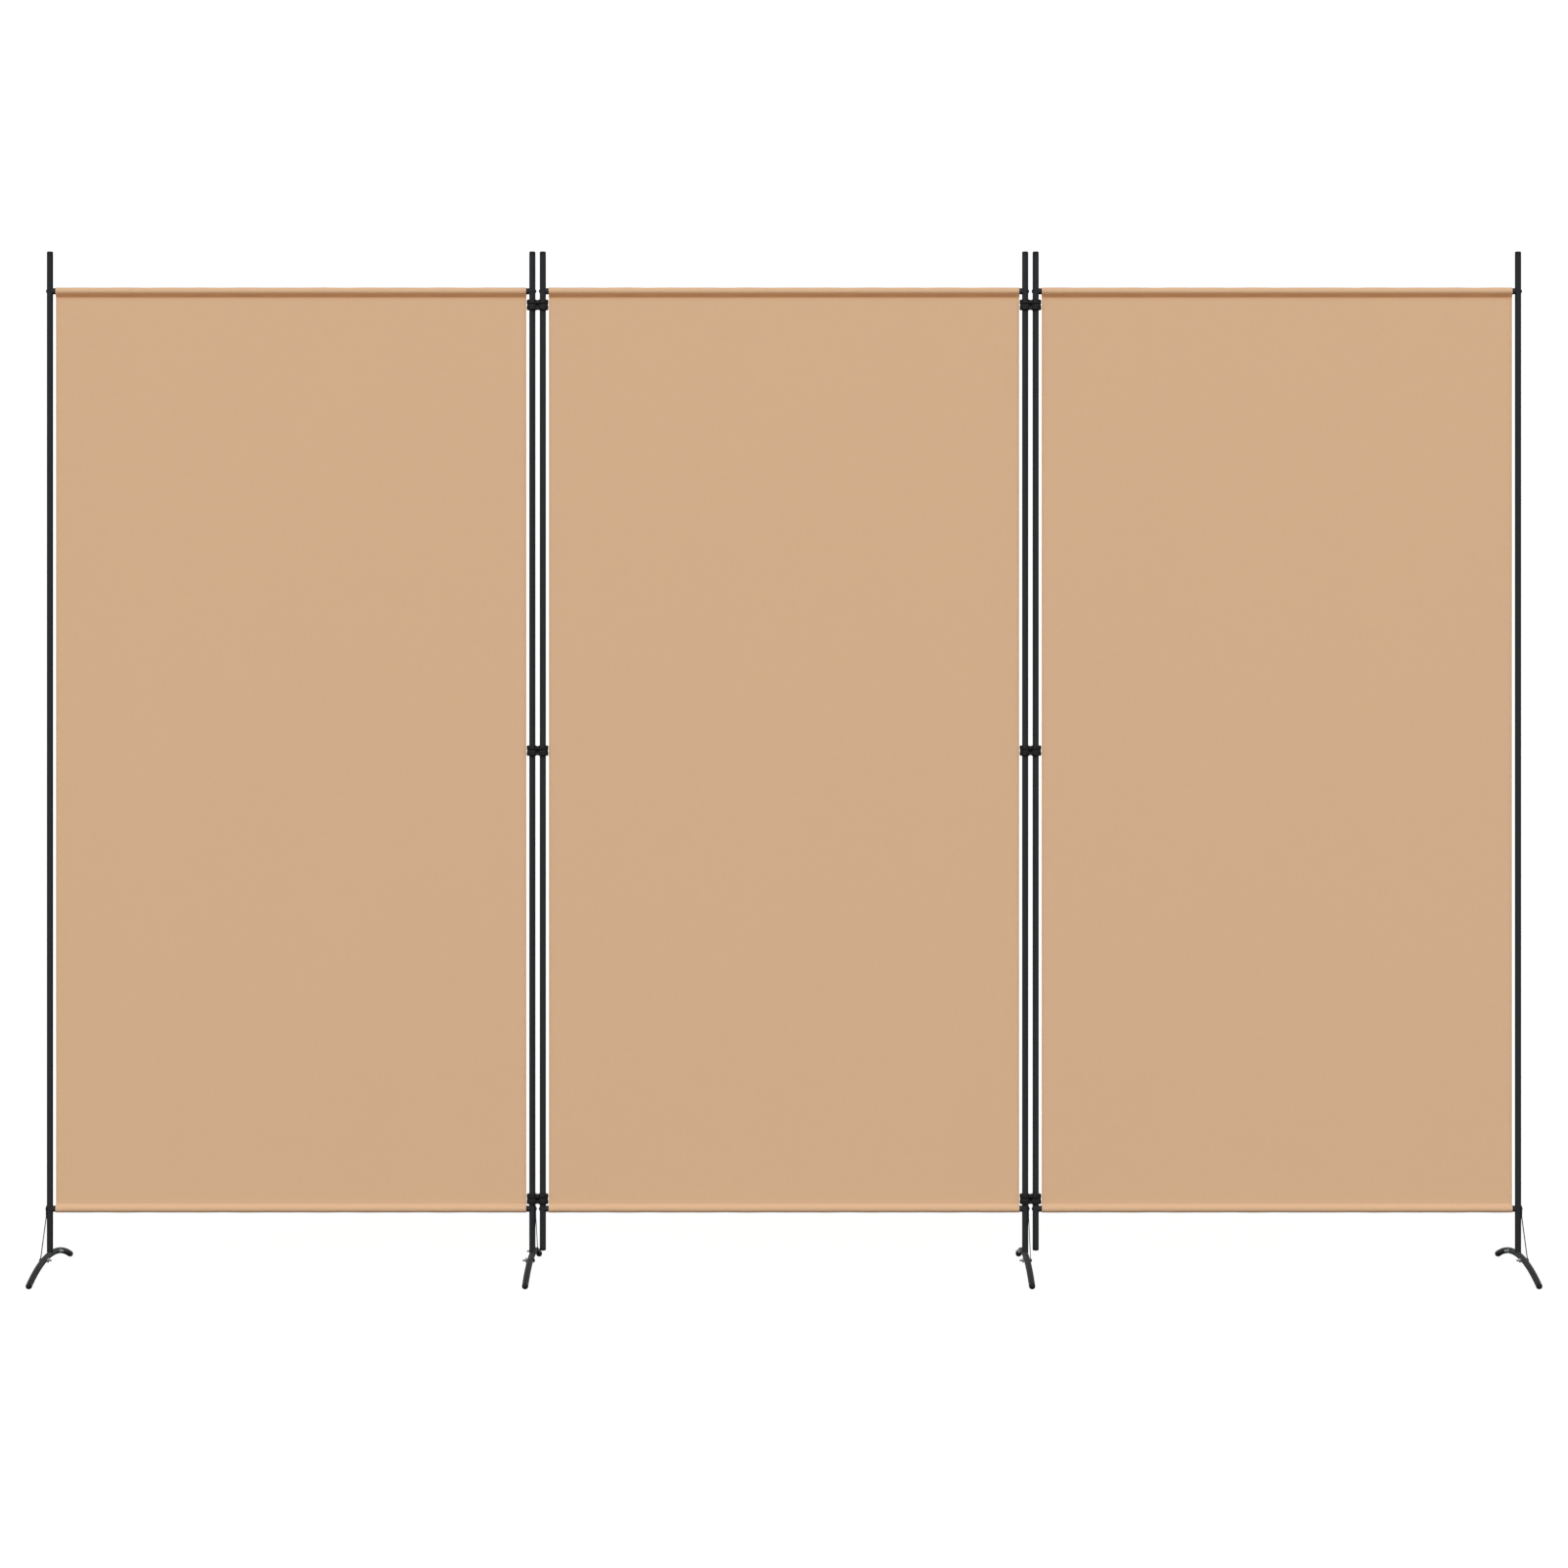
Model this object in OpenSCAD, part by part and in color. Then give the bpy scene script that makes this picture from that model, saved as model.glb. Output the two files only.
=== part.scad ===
// Folding room divider screen. Three fabric panels hang on thin tube frames, and
// the posts of neighbouring frames turn side by side in clamped hinge clips.
// Millimetres. X runs along the opened screen, Y from its front to its back and
// Z up. The origin is on the floor at the middle of the screen.
// The posts are counted from the left: 0 and 1 hold the left panel, 2 and 3 the
// centre panel, and 4 and 5 the right panel.

/* [Screen] */
// Width across the outer posts with the screen opened flat
overall_w = 2600; // [2000:10:3200]
// Height from the floor to the tops of the posts
overall_h = 1800; // [1500:10:2000]
// Height of the top bar's centreline below the post tops
top_bar_drop = 70; // [50:5:120]
// Height of the bottom bar's centreline above the floor
bottom_bar_z = 112; // [105:1:140]

/* [Tube] */
// Outer diameter of the posts, bars and foot bows
tube_d = 11; // [10:0.5:12]
// Wall thickness of that tube
tube_wall = 1; // [0.8:0.1:1.4]

/* [Fabric] */
// Thickness of the woven sheet
sheet_t = 0.8; // [0.6:0.1:1.2]
// Gap between a post's centreline and the sheet's edge
sheet_inset = 10.8; // [9:0.1:16]
// Distance from a bar to the seam that closes its pocket
pocket_drop = 3; // [2.5:0.5:9]

/* [Hinge clips] */
// Distance between the two posts of a hinge, centre to centre
hinge_pitch = 18.5; // [18:0.5:24]
// Height of a clip
clip_h = 18.5; // [14:0.5:22]
// Outer radius of the rings round the posts
clip_r = 9.9; // [9.2:0.1:11]
// Depth of the web between the rings, front to back
clip_web_y = 15; // [13:0.5:17]
// Clearance on the radius between a post and its ring
clip_play = 0.05; // [0.02:0.01:0.1]
// Height of the bottom clips' centre above the bottom bar
bottom_clip_rise = 17.6; // [17:0.2:30]
// Height of the middle clips' centre above the floor
middle_clip_z = 920; // [600:5:1200]
// Depth of the top clips' centre below the top bar
top_clip_drop = 24; // [18:0.5:40]

/* [Feet] */
// Depth of a foot from tip to tip
foot_span = 400; // [300:5:480]
// Height of the bow's centreline above the floor at its middle
bow_z = 31.5; // [26:0.5:33]
// Length of the plastic tips' heads between the bow's ends and their domes
tip_head = 4; // [3:0.5:8]
// Height cut off the tips' round undersides to give them flat soles
sole_cut = 0.6; // [0.3:0.1:0.6]
// Distance from the post to the brace's bolts in the bow
brace_reach = 57; // [40:1:80]
// Thickness of the brace plate
brace_t = 1; // [0.8:0.1:2]

/* [Hidden] */

powder_black = "#2b2c2e";
plastic_black = "#1d1d1e";
zinc = "#c3c5c6";
tan_cloth = "#d0ac8a";

$fn = 48;
arc_steps = 360;
tube_r = tube_d / 2;
tube_bore_r = tube_r - tube_wall;

// Centrelines of the posts, and the heights where things meet them.
outer_x = (overall_w - tube_d) / 2;
panel_pitch = (2 * outer_x - 2 * hinge_pitch) / 3;
center_x = panel_pitch / 2;
inner_x = center_x + hinge_pitch;
post_x = [-outer_x, -inner_x, -center_x, center_x, inner_x, outer_x];
top_bar_z = overall_h - top_bar_drop;
bar_heights = [bottom_bar_z, top_bar_z];

// The caps stand on the tubes' ends, flush with their outsides.
cap_h = 7;
cap_round = 1.6;
plug_head_h = 5;
plug_round = 2;
stopper_depth = 14;
plug_clear = 1.5;
plug_z = bow_z + tube_r + plug_clear;

// The bow is an arc that runs straight on through the tips' heads to their domes'
// centres. The tangents of its middle and of its end meet at bow_knee.
tip_fit = 0.12;
tip_stem = 10;
tip_z = tube_r - sole_cut;
tip_y = foot_span / 2 - tube_r;
bow_rise = bow_z - tip_z;
bow_knee = (tip_y * tip_y + bow_rise * bow_rise - tip_head * tip_head) / (2 * (tip_y + tip_head));
bow_half_angle = atan2(bow_rise, tip_y - bow_knee);
bow_radius = bow_knee / tan(bow_half_angle / 2);
bow_center_z = bow_z - bow_radius;
brace_bolt_z = bow_center_z + sqrt(bow_radius * bow_radius - brace_reach * brace_reach);

// A stub welded on the bow goes up inside the post to the bottom bar's screw.
stub_fit = 0.05;
stub_r = tube_bore_r - stub_fit;
stub_wall = 1;
stub_top_z = bottom_bar_z + 9;
cope_depth = 3;
footed_post_z = bow_z + tube_r - cope_depth;

// The hollowed ends of the bars are trimmed this far from the post's centreline.
bar_trim = 3;

// Frame screws, brace bolts and clip screws.
screw_r = 2;
hole_r = 2.15;
head_r = 3.5;
head_h = 1.7;
socket_r = 1.4;
socket_depth = 1.1;
frame_screw_l = 26;
brace_screw_l = 20;
bar_plug_l = 17;
nut_flats = 7;
nut_h = 3.2;
nut_face_r = 3.3;
nut_bevel = 30;
clip_screw_r = 1.5;
clip_hole_r = 1.65;
clip_head_r = 2.7;
clip_head_h = 1.8;
clip_recess_r = 3;
clip_recess_depth = 4.2;
clip_screw_cover = 3.3;
clip_screw_l = clip_web_y - clip_recess_depth - clip_screw_cover;

// Clip details: the parting gap, edge rounding, waist groove, the deeper channel
// across its face, and arched edges.
clip_gap = 0.3;
clip_round = 2;
clip_groove_r = 4.5;
clip_groove_depth = 0.7;
clip_channel_r = 2.8;
clip_channel_depth = 2;
clip_arch_r = 4;
clip_arch_h = 1.2;
clip_bore_r = tube_r + clip_play;
bottom_clip_z = bottom_bar_z + bottom_clip_rise;
top_clip_z = top_bar_z - top_clip_drop;

// Brace plate: a pad on the post and two straight legs.
brace_pad_w = 11;
brace_pad_drop = 10;
brace_leg_w = 4;
brace_eye_r = 4.2;

// The sheet's pocket is a loose loop round the bar, drawn to a point at its seam.
pocket_ease = 0.1;
pocket_in_r = tube_r + pocket_ease;
pocket_out_r = pocket_in_r + sheet_t;
pocket_depth = tube_r + pocket_drop;

// Turns a shape so that its X, Y and Z lie along Y, Z and X.
module in_foot_plane(x) {
    translate([x, 0, 0]) rotate([90, 0, 90]) children();
}

// A hollow or solid round along X, from x0 to x1 at the given height.
module round_x(x0, x1, z, r) {
    translate([min(x0, x1), 0, z]) rotate([0, 90, 0]) cylinder(r = r, h = abs(x1 - x0));
}

// A dome-headed screw from the origin: the head above, the shank below.
module dome_screw(r, length, top_r, top_h) {
    ball_r = (top_r * top_r + top_h * top_h) / (2 * top_h);
    difference() {
        union() {
            translate([0, 0, -length]) cylinder(r = r, h = length);
            intersection() {
                cylinder(r = top_r, h = top_h);
                translate([0, 0, top_h - ball_r]) sphere(r = ball_r, $fn = 96);
            }
        }
        translate([0, 0, top_h - socket_depth]) cylinder(r = socket_r, h = top_h, $fn = 6);
    }
}

// A stopper for a tube's end: a head flush with the tube on a stem inside it.
module stopper(head, rounding) {
    translate([0, 0, -stopper_depth]) cylinder(r = tube_bore_r, h = stopper_depth);
    rotate_extrude() union() {
        square([tube_r, head - rounding]);
        square([tube_r - rounding, head]);
        translate([tube_r - rounding, head - rounding]) intersection() {
            circle(r = rounding);
            square(rounding);
        }
    }
}

module post(i, footed) {
    low = footed ? footed_post_z : plug_z + plug_head_h;
    high = overall_h - cap_h;
    color(powder_black) difference() {
        translate([post_x[i], 0, low]) cylinder(r = tube_r, h = high - low);
        translate([post_x[i], 0, low - 1]) cylinder(r = tube_bore_r, h = high - low + 2);
        for (z = bar_heights) round_x(post_x[i] - tube_d, post_x[i] + tube_d, z, hole_r);
        if (footed) bow_round(i, tube_r);
    }
}

module post_cap(i) {
    color(plastic_black) translate([post_x[i], 0, overall_h - cap_h]) stopper(cap_h, cap_round);
}

module post_plug(i) {
    color(plastic_black) translate([post_x[i], 0, plug_z + plug_head_h])
        mirror([0, 0, 1]) stopper(plug_head_h, plug_round);
}

// A bar from post i to post i + 1, its ends hollowed to sit on the posts.
module bar(i, z) {
    color(powder_black) difference() {
        round_x(post_x[i] + bar_trim, post_x[i + 1] - bar_trim, z, tube_r);
        round_x(post_x[i], post_x[i + 1], z, tube_bore_r);
        for (x = [post_x[i], post_x[i + 1]]) translate([x, 0, z - tube_d]) cylinder(r = tube_r, h = 2 * tube_d);
    }
}

// The threaded plug in a bar's end at post i. Side is the way that the bar runs.
module bar_plug(i, side, z) {
    end_x = post_x[i] + side * (tube_r + bar_plug_l);
    color(plastic_black) difference() {
        round_x(post_x[i], end_x, z, tube_bore_r);
        round_x(post_x[i], end_x + side, z, screw_r);
        translate([post_x[i], 0, z - tube_d]) cylinder(r = tube_r, h = 2 * tube_d);
    }
}

// The screw through post i into a bar. It stands on a brace plate where there is one.
module bar_screw(i, side, z, braced) {
    seat = tube_r + (braced ? brace_t : 0);
    color(powder_black) translate([post_x[i] - side * seat, 0, z]) rotate([0, -side * 90, 0])
        dome_screw(screw_r, frame_screw_l, head_r, head_h);
}

// A round of radius r bent along the bow of the foot under post i.
module bow_round(i, r) {
    in_foot_plane(post_x[i]) translate([0, bow_center_z, 0])
        rotate_extrude(angle = 2 * bow_half_angle, start = 90 - bow_half_angle, $fn = arc_steps)
        translate([bow_radius, 0]) circle(r = r, $fn = 48);
}

module foot(i) {
    color(powder_black) difference() {
        union() {
            bow_round(i, tube_r);
            translate([post_x[i], 0, bow_z]) cylinder(r = stub_r, h = stub_top_z - bow_z);
        }
        bow_round(i, tube_bore_r);
        translate([post_x[i], 0, bow_z]) cylinder(r = stub_r - stub_wall, h = stub_top_z);
        round_x(post_x[i] - tube_d, post_x[i] + tube_d, bottom_bar_z, hole_r);
        for (y = [-brace_reach, brace_reach]) translate([0, y, 0])
            round_x(post_x[i] - tube_d, post_x[i] + tube_d, brace_bolt_z, hole_r);
    }
}

// The two domed tips of a foot, flush with the bow, each on a stem inside its end.
module foot_tips(i) {
    color(plastic_black) for (side = [-1, 1]) difference() {
        translate([post_x[i], side * tip_y, tip_z]) rotate([side * (90 - bow_half_angle), 0, 0])
            rotate_extrude() {
                square([tube_r, tip_head]);
                square([tube_bore_r - tip_fit, tip_head + tip_stem]);
                intersection() {
                    circle(r = tube_r);
                    translate([0, -tube_r]) square(tube_r);
                }
            }
        translate([post_x[i] - tube_d, side * tip_y - 2 * tube_d, -tube_d]) cube([2 * tube_d, 4 * tube_d, tube_d]);
    }
}

// A flat strap with round ends between two points of the foot's plane.
module strap(from, to, w) {
    run = to - from;
    translate(from) rotate(atan2(run.y, run.x)) {
        translate([0, -w / 2]) square([norm(run), w]);
        circle(d = w);
        translate([norm(run), 0]) circle(d = w);
    }
}

// The V-shaped plate that steadies post i on its foot, flat against their side.
module brace(i, side) {
    pad_low = [0, bottom_bar_z - brace_pad_drop];
    color(powder_black) in_foot_plane(post_x[i] + side * (tube_r + brace_t / 2) - brace_t / 2)
        linear_extrude(brace_t) difference() {
            union() {
                strap([0, bottom_bar_z], pad_low, brace_pad_w);
                for (y = [-brace_reach, brace_reach]) {
                    strap(pad_low, [y, brace_bolt_z], brace_leg_w);
                    translate([y, brace_bolt_z]) circle(r = brace_eye_r);
                }
            }
            translate([0, bottom_bar_z]) circle(r = hole_r);
            for (y = [-brace_reach, brace_reach]) translate([y, brace_bolt_z]) circle(r = hole_r);
        }
}

module brace_screws(i, side) {
    color(powder_black) for (y = [-brace_reach, brace_reach])
        translate([post_x[i] + side * (tube_r + brace_t), y, brace_bolt_z]) rotate([0, side * 90, 0])
            dome_screw(screw_r, brace_screw_l, head_r, head_h);
}

// A six-sided nut from the origin up, its upper corners turned off to a bevel.
module nut() {
    turned_r = nut_flats;
    difference() {
        intersection() {
            cylinder(d = nut_flats / cos(30), h = nut_h, $fn = 6);
            rotate_extrude() polygon([
                [0, -1], [turned_r, -1], [turned_r, nut_h - (turned_r - nut_face_r) * tan(nut_bevel)],
                [nut_face_r, nut_h], [0, nut_h]
            ]);
        }
        translate([0, 0, -1]) cylinder(r = screw_r, h = nut_h + 2);
    }
}

module brace_nuts(i, side) {
    color(zinc) for (y = [-brace_reach, brace_reach])
        translate([post_x[i] - side * tube_r, y, brace_bolt_z]) rotate([0, -side * 90, 0]) nut();
}

// A loop of radius r drawn to a point: the outline of a bar pocket seen from its end.
// Its straight sides leave the round where they all but touch it.
module drop(r, depth) {
    near = 0.97 * r;
    touch = acos(near / depth);
    circle(r = r);
    polygon([[0, -depth], near * [sin(touch), -cos(touch)], [0, 0], near * [-sin(touch), -cos(touch)]]);
}

// The sheet between posts i and i + 1, with a pocket for each bar.
module fabric(i) {
    low_x = post_x[i] + sheet_inset;
    width = panel_pitch - 2 * sheet_inset;
    seam_gap = top_bar_z - bottom_bar_z - 2 * pocket_depth;
    color(tan_cloth) in_foot_plane(low_x) linear_extrude(width) {
        translate([-sheet_t / 2, bottom_bar_z + pocket_depth - sheet_t]) square([sheet_t, seam_gap + 2 * sheet_t]);
        for (end = [0, 1]) translate([0, bar_heights[end]]) mirror([0, 1 - end]) difference() {
            drop(pocket_out_r, pocket_depth);
            drop(pocket_in_r, pocket_depth - 2 * sheet_t);
        }
    }
}

// Section of a clip's body with its inner side on the Y axis: rounded edges and a
// groove round the middle of its outer face.
module clip_section(inner, outer) {
    half_h = clip_h / 2;
    difference() {
        union() {
            translate([inner, -half_h]) square([outer - clip_round - inner, clip_h]);
            translate([inner, clip_round - half_h]) square([outer - inner, clip_h - 2 * clip_round]);
            for (end = [-1, 1]) translate([outer - clip_round, end * (half_h - clip_round)]) circle(r = clip_round);
        }
        translate([outer - clip_groove_depth + clip_groove_r, 0]) circle(r = clip_groove_r);
    }
}

// One moulded half of a clip between posts i and i + 1. Face is -1 for the front
// half, which has the screw's recess, and 1 for the back half, which it bites into.
module clip_half(i, z, face) {
    mid_x = (post_x[i] + post_x[i + 1]) / 2;
    web_half = hinge_pitch / 2;
    big = 3 * hinge_pitch;
    color(plastic_black) translate([mid_x, 0, z]) difference() {
        union() {
            for (end = [-1, 1]) translate([end * web_half, 0, 0]) rotate_extrude() clip_section(0, clip_r);
            translate([-web_half, 0, 0]) rotate([90, 0, 90]) linear_extrude(hinge_pitch)
                for (turn = [0, 1]) mirror([turn, 0]) clip_section(0, clip_web_y / 2);
        }
        for (end = [-1, 1]) {
            translate([end * web_half, 0, -clip_h]) cylinder(r = clip_bore_r, h = 2 * clip_h);
            translate([0, clip_r, end * (clip_h / 2 + clip_arch_r - clip_arch_h)]) rotate([90, 0, 0])
                cylinder(r = clip_arch_r, h = 2 * clip_r);
        }
        translate([-big / 2, face < 0 ? -clip_gap / 2 : clip_gap / 2 - big, -clip_h]) cube([big, big, 2 * clip_h]);
        translate([-big / 2, face * (clip_r - clip_channel_depth + clip_channel_r), 0]) rotate([0, 90, 0])
            cylinder(r = clip_channel_r, h = big);
        rotate([90, 0, 0]) {
            if (face < 0) {
                cylinder(r = clip_hole_r, h = clip_r);
                translate([0, 0, clip_web_y / 2 - clip_recess_depth]) cylinder(r = clip_recess_r, h = clip_r);
            } else {
                clip_bite = clip_web_y / 2 - clip_screw_cover;
                translate([0, 0, -clip_bite]) cylinder(r = clip_screw_r, h = clip_bite);
            }
        }
    }
}

module clip_screws(i) {
    color(powder_black) for (z = [bottom_clip_z, middle_clip_z, top_clip_z])
        translate([(post_x[i] + post_x[i + 1]) / 2, clip_recess_depth - clip_web_y / 2, z])
            rotate([90, 0, 0]) dome_screw(clip_screw_r, clip_screw_l, clip_head_r, clip_head_h);
}

// Centre panel: posts 2 and 3, with a foot under post 3.
module center_left_post() { post(2, false); }
module center_right_post() { post(3, true); }
module center_top_bar() { bar(2, top_bar_z); }
module center_bottom_bar() { bar(2, bottom_bar_z); }
module center_fabric() { fabric(2); }
module center_post_caps() { for (i = [2, 3]) post_cap(i); }
module center_post_plug() { post_plug(2); }
module center_bar_plugs() {
    for (z = bar_heights) {
        bar_plug(2, 1, z);
        bar_plug(3, -1, z);
    }
}
module center_bar_screws() {
    for (z = bar_heights) {
        bar_screw(2, 1, z, false);
        bar_screw(3, -1, z, z == bottom_bar_z);
    }
}
module center_foot() { foot(3); }
module center_foot_tips() { foot_tips(3); }
module center_foot_brace() { brace(3, 1); }
module center_brace_screws() { brace_screws(3, 1); }
module center_brace_nuts() { brace_nuts(3, 1); }

// Left panel: posts 0 and 1, each on a foot.
module left_outer_post() { post(0, true); }
module left_inner_post() { post(1, true); }
module left_top_bar() { bar(0, top_bar_z); }
module left_bottom_bar() { bar(0, bottom_bar_z); }
module left_fabric() { fabric(0); }
module left_post_caps() { for (i = [0, 1]) post_cap(i); }
module left_bar_plugs() {
    for (z = bar_heights) {
        bar_plug(0, 1, z);
        bar_plug(1, -1, z);
    }
}
module left_bar_screws() {
    for (z = bar_heights) {
        bar_screw(0, 1, z, z == bottom_bar_z);
        bar_screw(1, -1, z, z == bottom_bar_z);
    }
}
module left_outer_foot() { foot(0); }
module left_inner_foot() { foot(1); }
module left_foot_tips() { for (i = [0, 1]) foot_tips(i); }
module left_outer_brace() { brace(0, -1); }
module left_inner_brace() { brace(1, 1); }
module left_brace_screws() {
    brace_screws(0, -1);
    brace_screws(1, 1);
}
module left_brace_nuts() {
    brace_nuts(0, -1);
    brace_nuts(1, 1);
}

// Right panel: posts 4 and 5, with a foot under post 5.
module right_inner_post() { post(4, false); }
module right_outer_post() { post(5, true); }
module right_top_bar() { bar(4, top_bar_z); }
module right_bottom_bar() { bar(4, bottom_bar_z); }
module right_fabric() { fabric(4); }
module right_post_caps() { for (i = [4, 5]) post_cap(i); }
module right_post_plug() { post_plug(4); }
module right_bar_plugs() {
    for (z = bar_heights) {
        bar_plug(4, 1, z);
        bar_plug(5, -1, z);
    }
}
module right_bar_screws() {
    for (z = bar_heights) {
        bar_screw(4, 1, z, false);
        bar_screw(5, -1, z, z == bottom_bar_z);
    }
}
module right_foot() { foot(5); }
module right_foot_tips() { foot_tips(5); }
module right_foot_brace() { brace(5, 1); }
module right_brace_screws() { brace_screws(5, 1); }
module right_brace_nuts() { brace_nuts(5, 1); }

// Hinges: three clips between posts 1 and 2, and three between posts 3 and 4.
module left_top_clip_front() { clip_half(1, top_clip_z, -1); }
module left_top_clip_back() { clip_half(1, top_clip_z, 1); }
module left_middle_clip_front() { clip_half(1, middle_clip_z, -1); }
module left_middle_clip_back() { clip_half(1, middle_clip_z, 1); }
module left_bottom_clip_front() { clip_half(1, bottom_clip_z, -1); }
module left_bottom_clip_back() { clip_half(1, bottom_clip_z, 1); }
module left_clip_screws() { clip_screws(1); }
module right_top_clip_front() { clip_half(3, top_clip_z, -1); }
module right_top_clip_back() { clip_half(3, top_clip_z, 1); }
module right_middle_clip_front() { clip_half(3, middle_clip_z, -1); }
module right_middle_clip_back() { clip_half(3, middle_clip_z, 1); }
module right_bottom_clip_front() { clip_half(3, bottom_clip_z, -1); }
module right_bottom_clip_back() { clip_half(3, bottom_clip_z, 1); }
module right_clip_screws() { clip_screws(3); }

center_left_post();
center_right_post();
center_top_bar();
center_bottom_bar();
center_fabric();
center_post_caps();
center_post_plug();
center_bar_plugs();
center_bar_screws();
center_foot();
center_foot_tips();
center_foot_brace();
center_brace_screws();
center_brace_nuts();
left_outer_post();
left_inner_post();
left_top_bar();
left_bottom_bar();
left_fabric();
left_post_caps();
left_bar_plugs();
left_bar_screws();
left_outer_foot();
left_inner_foot();
left_foot_tips();
left_outer_brace();
left_inner_brace();
left_brace_screws();
left_brace_nuts();
right_inner_post();
right_outer_post();
right_top_bar();
right_bottom_bar();
right_fabric();
right_post_caps();
right_post_plug();
right_bar_plugs();
right_bar_screws();
right_foot();
right_foot_tips();
right_foot_brace();
right_brace_screws();
right_brace_nuts();
left_top_clip_front();
left_top_clip_back();
left_middle_clip_front();
left_middle_clip_back();
left_bottom_clip_front();
left_bottom_clip_back();
left_clip_screws();
right_top_clip_front();
right_top_clip_back();
right_middle_clip_front();
right_middle_clip_back();
right_bottom_clip_front();
right_bottom_clip_back();
right_clip_screws();
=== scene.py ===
"""Looks of the folding room divider screen: the cloth, its stitching, the brace bolts,
the finishes, the studio light and the camera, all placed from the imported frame.
Metres throughout. X runs along the opened screen, Y from front to back and Z up."""
import math

import bmesh
import bpy
import numpy as np
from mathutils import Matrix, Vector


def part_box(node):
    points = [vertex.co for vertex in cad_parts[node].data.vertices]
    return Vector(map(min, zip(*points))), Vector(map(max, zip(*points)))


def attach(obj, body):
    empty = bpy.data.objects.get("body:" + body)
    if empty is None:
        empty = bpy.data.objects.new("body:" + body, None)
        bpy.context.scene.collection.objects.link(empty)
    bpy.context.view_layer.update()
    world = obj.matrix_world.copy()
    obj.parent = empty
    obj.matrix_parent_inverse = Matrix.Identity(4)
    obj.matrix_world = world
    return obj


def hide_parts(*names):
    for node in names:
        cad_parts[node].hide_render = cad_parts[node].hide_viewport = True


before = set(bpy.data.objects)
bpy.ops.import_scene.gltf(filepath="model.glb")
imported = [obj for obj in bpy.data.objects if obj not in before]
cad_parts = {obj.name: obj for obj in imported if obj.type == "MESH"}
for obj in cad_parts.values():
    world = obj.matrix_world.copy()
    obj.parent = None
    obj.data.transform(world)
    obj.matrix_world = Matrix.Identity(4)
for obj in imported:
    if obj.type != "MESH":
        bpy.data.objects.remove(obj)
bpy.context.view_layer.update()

MM = 0.001
TURN = 2 * math.pi
scene = bpy.context.scene


# ---------------------------------------------------------------- meshes

def grid_faces(rows, columns, closed=False):
    """Four-cornered faces between neighbouring points of a grid numbered row by row,
    with the last column joined to the first where the grid is closed."""
    row, column = np.meshgrid(
        np.arange(rows - 1), np.arange(columns if closed else columns - 1), indexing="ij")
    after = (column + 1) % columns
    corners = [row * columns + column, row * columns + after,
               (row + 1) * columns + after, (row + 1) * columns + column]
    return np.stack(corners, -1).reshape(-1, 4)


def mesh_piece(name, points, faces, materials, uv=None, tint=None):
    """A smooth mesh object from whole arrays: points, faces of four or three corners (a
    three-cornered one repeats its last corner), one uv pair for each point, and for each
    face the number of its material."""
    points = points.reshape(-1, 3)
    mesh = bpy.data.meshes.new(name)
    triangle = faces[:, 3] == faces[:, 2]
    sides = np.where(triangle, 3, 4)
    corners = faces[np.arange(4)[None, :] < sides[:, None]]
    mesh.vertices.add(len(points))
    mesh.vertices.foreach_set("co", points.astype(np.float32).ravel())
    mesh.loops.add(len(corners))
    mesh.loops.foreach_set("vertex_index", corners.astype(np.int32))
    mesh.polygons.add(len(faces))
    mesh.polygons.foreach_set("loop_start", (np.cumsum(sides) - sides).astype(np.int32))
    mesh.polygons.foreach_set("loop_total", sides.astype(np.int32))
    mesh.polygons.foreach_set("use_smooth", np.ones(len(faces), bool))
    if tint is not None:
        mesh.polygons.foreach_set("material_index", tint.astype(np.int32))
    if uv is not None:
        layer = mesh.uv_layers.new(name="thread_grid")
        layer.data.foreach_set("uv", uv.reshape(-1, 2)[corners].astype(np.float32).ravel())
    mesh.update(calc_edges=True)
    mesh.validate()
    for material in materials:
        mesh.materials.append(material)
    piece = bpy.data.objects.new(name, mesh)
    scene.collection.objects.link(piece)
    return piece


def closed_outward(piece):
    """Merges points that coincide and turns every face outwards."""
    work = bmesh.new()
    work.from_mesh(piece.data)
    bmesh.ops.remove_doubles(work, verts=work.verts, dist=0.0001 * MM)
    bmesh.ops.recalc_face_normals(work, faces=work.faces)
    work.to_mesh(piece.data)
    work.free()


def smoothstep(value):
    """0 below 0, 1 above 1, and a level-ended rise of 3 v^2 - 2 v^3 between."""
    value = np.clip(value, 0, 1)
    return value * value * (3 - 2 * value)


# ---------------------------------------------------------------- finishes

def linear(hex_colour):
    """An sRGB hex colour as the linear red, green, blue and alpha that nodes take."""
    parts = [int(hex_colour[i:i + 2], 16) / 255 for i in (1, 3, 5)]
    return [c / 12.92 if c <= 0.04045 else ((c + 0.055) / 1.055) ** 2.4 for c in parts] + [1.0]


def node(tree, kind, inputs=None, **settings):
    """Adds a node with its settings. Each input is a plain value or an output to link."""
    made = tree.nodes.new("ShaderNode" + kind)
    for name, value in settings.items():
        setattr(made, name, value)
    for socket, value in (inputs or {}).items():
        if isinstance(value, bpy.types.NodeSocket):
            tree.links.new(value, made.inputs[socket])
        else:
            made.inputs[socket].default_value = value
    return made


def finish(name, **sockets):
    """A material with a Principled shader whose uniform values sit on its own sockets."""
    material = bpy.data.materials.new(name)
    material.use_nodes = True
    shader = material.node_tree.nodes["Principled BSDF"]
    for socket, value in sockets.items():
        shader.inputs[socket.replace("_", " ")].default_value = value
    return material, material.node_tree, shader


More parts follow.
